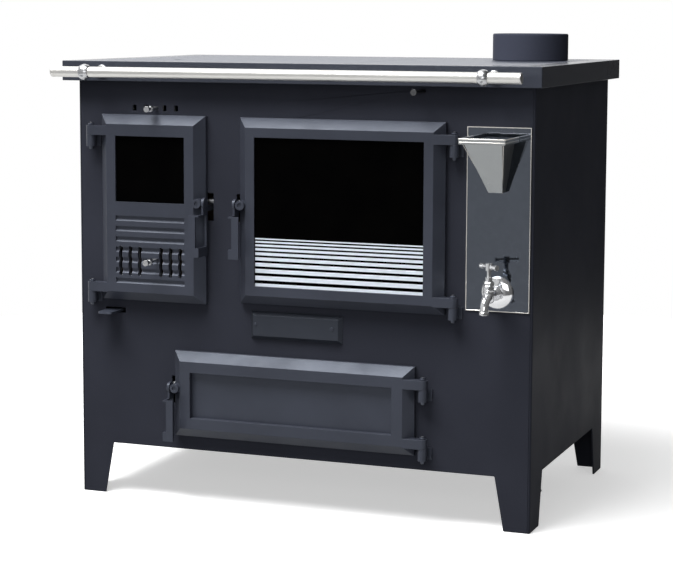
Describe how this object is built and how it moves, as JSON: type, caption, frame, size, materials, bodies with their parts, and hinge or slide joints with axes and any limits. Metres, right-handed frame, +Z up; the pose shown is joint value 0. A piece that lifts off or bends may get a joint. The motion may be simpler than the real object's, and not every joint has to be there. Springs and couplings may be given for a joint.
{
  "type": "wood cookstove",
  "caption": "Freestanding wood-burning cookstove with glazed fire and oven doors, ash door, hob, towel rail, flue collar and a water set with funnel and tap.",
  "frame": {"origin": "on the floor under the middle of the bounding box of the whole stove with its rail and hob", "axes": "+X to the right seen from the front, +Y to the back, +Z up"},
  "size_m": [0.952, 0.6989, 0.903],
  "materials": {
    "casing_paint": "anthracite powder coat, matt",
    "door_cast": "painted casting, satin",
    "hob_iron": "ground cast iron",
    "firebrick": "fired clay",
    "dark_glass": "ceramic glass, black in front of the dark inside",
    "chrome": "plated, polished",
    "polished_plate": "mirror polished stainless sheet",
    "zinc": "zinc plated",
    "black_sheet": "heat resistant black",
    "stainless": "brushed stainless"
  },
  "bodies": {
    "stove": {"ash_chute": "black_sheet", "back_panel": "casing_paint", "bracket_ash_lower": "door_cast", "bracket_ash_upper": "door_cast", "bracket_fire_lower": "door_cast", "bracket_fire_upper": "door_cast", "bracket_oven_lower": "door_cast", "bracket_oven_upper": "door_cast", "cleanout_cover": "door_cast", "cooktop_frame": "casing_paint", "firebrick_back": "firebrick", "firebrick_left": "firebrick", "firebrick_right": "firebrick", "floor_plate": "black_sheet", "flue_collar": "casing_paint", "front_panel": "casing_paint", "funnel": "stainless", "grate_carrier": "hob_iron", "hob_plate_left": "hob_iron", "hob_plate_middle": "hob_iron", "hob_plate_right": "hob_iron", "keeper_ash": "zinc", "keeper_fire": "zinc", "keeper_oven": "zinc", "left_panel": "casing_paint", "oven_box": "black_sheet", "oven_runner_left": "zinc", "oven_runner_right": "zinc", "pin_ash_lower": "door_cast", "pin_ash_upper": "door_cast", "pin_fire_lower": "door_cast", "pin_fire_upper": "door_cast", "pin_oven_lower": "door_cast", "pin_oven_upper": "door_cast", "rail_bracket_left": "stainless", "rail_bracket_right": "stainless", "right_panel": "casing_paint", "strainer": "stainless", "tap_body": "chrome", "tap_rosette": "chrome", "towel_rail": "stainless", "water_plate": "polished_plate", "water_tank": "stainless"},
    "fire_door": {"fire_door": "door_cast", "fire_glass": "dark_glass"},
    "oven_door": {"oven_door": "door_cast", "oven_glass": "dark_glass"},
    "ash_door": {"ash_door": "door_cast"},
    "latch_fire": {"latch_fire": "door_cast"},
    "latch_oven": {"latch_oven": "door_cast"},
    "latch_ash": {"latch_ash": "door_cast"},
    "primary_air_slider": {"primary_air_slider": "stainless"},
    "secondary_air_slider": {"secondary_air_slider": "stainless"},
    "grate": {"grate": "hob_iron"},
    "damper": {"damper": "zinc"},
    "tap_handle": {"tap_handle": "chrome"},
    "hob_lid": {"hob_lid": "hob_iron"},
    "ash_pan": {"ash_pan": "zinc"},
    "oven_rack": {"oven_rack": "stainless"}
  },
  "joints": [
    {"name": "fire_door_hinge", "type": "hinge", "parent": "stove", "child": "fire_door", "pos_m": [-0.4215, -0.2515, 0.568], "axis": [0, 0, -1], "range_deg": [0, 130]},
    {"name": "oven_door_hinge", "type": "hinge", "parent": "stove", "child": "oven_door", "pos_m": [0.3125, -0.2515, 0.571], "axis": [0, 0, 1], "range_deg": [0, 95]},
    {"name": "ash_door_hinge", "type": "hinge", "parent": "stove", "child": "ash_door", "pos_m": [0.2565, -0.2515, 0.213], "axis": [0, 0, 1], "range_deg": [0, 110]},
    {"name": "fire_latch_lift", "type": "hinge", "parent": "fire_door", "child": "latch_fire", "pos_m": [-0.183, -0.2575, 0.5835], "axis": [-1, 0, 0], "range_deg": [0, 28]},
    {"name": "oven_latch_lift", "type": "hinge", "parent": "oven_door", "child": "latch_oven", "pos_m": [-0.112, -0.2575, 0.5835], "axis": [-1, 0, 0], "range_deg": [0, 28]},
    {"name": "ash_latch_lift", "type": "hinge", "parent": "ash_door", "child": "latch_ash", "pos_m": [-0.2495, -0.2575, 0.2255], "axis": [-1, 0, 0], "range_deg": [0, 28]},
    {"name": "primary_air_slide", "type": "slide", "parent": "fire_door", "child": "primary_air_slider", "axis": [-1, 0, 0], "range_m": [0, 0.01]},
    {"name": "secondary_air_slide", "type": "slide", "parent": "stove", "child": "secondary_air_slider", "axis": [-1, 0, 0], "range_m": [0, 0.01]},
    {"name": "grate_slide", "type": "slide", "parent": "stove", "child": "grate", "axis": [0, -1, 0], "range_m": [0, 0.025]},
    {"name": "damper_slide", "type": "slide", "parent": "stove", "child": "damper", "axis": [0, -1, 0], "range_m": [0, 0.06]},
    {"name": "tap_handle_turn", "type": "hinge", "parent": "stove", "child": "tap_handle", "pos_m": [0.3913, -0.2905, 0.495], "axis": [0, 0, 1], "range_deg": [0, 270]},
    {"name": "hob_lid_lift", "type": "slide", "parent": "stove", "child": "hob_lid", "axis": [0, 0, 1], "range_m": [0, 0.03]},
    {"name": "ash_pan_slide", "type": "slide", "parent": "stove", "child": "ash_pan", "axis": [0, -1, 0], "range_m": [0, 0.384]},
    {"name": "oven_rack_slide", "type": "slide", "parent": "stove", "child": "oven_rack", "axis": [0, -1, 0], "range_m": [0, 0.166]}
  ],
  "couplings": [
    {"joint": "ash_pan_slide", "follows": "ash_door_hinge", "m_per_rad": 0.2},
    {"joint": "oven_rack_slide", "follows": "oven_door_hinge", "m_per_rad": 0.1}
  ]
}
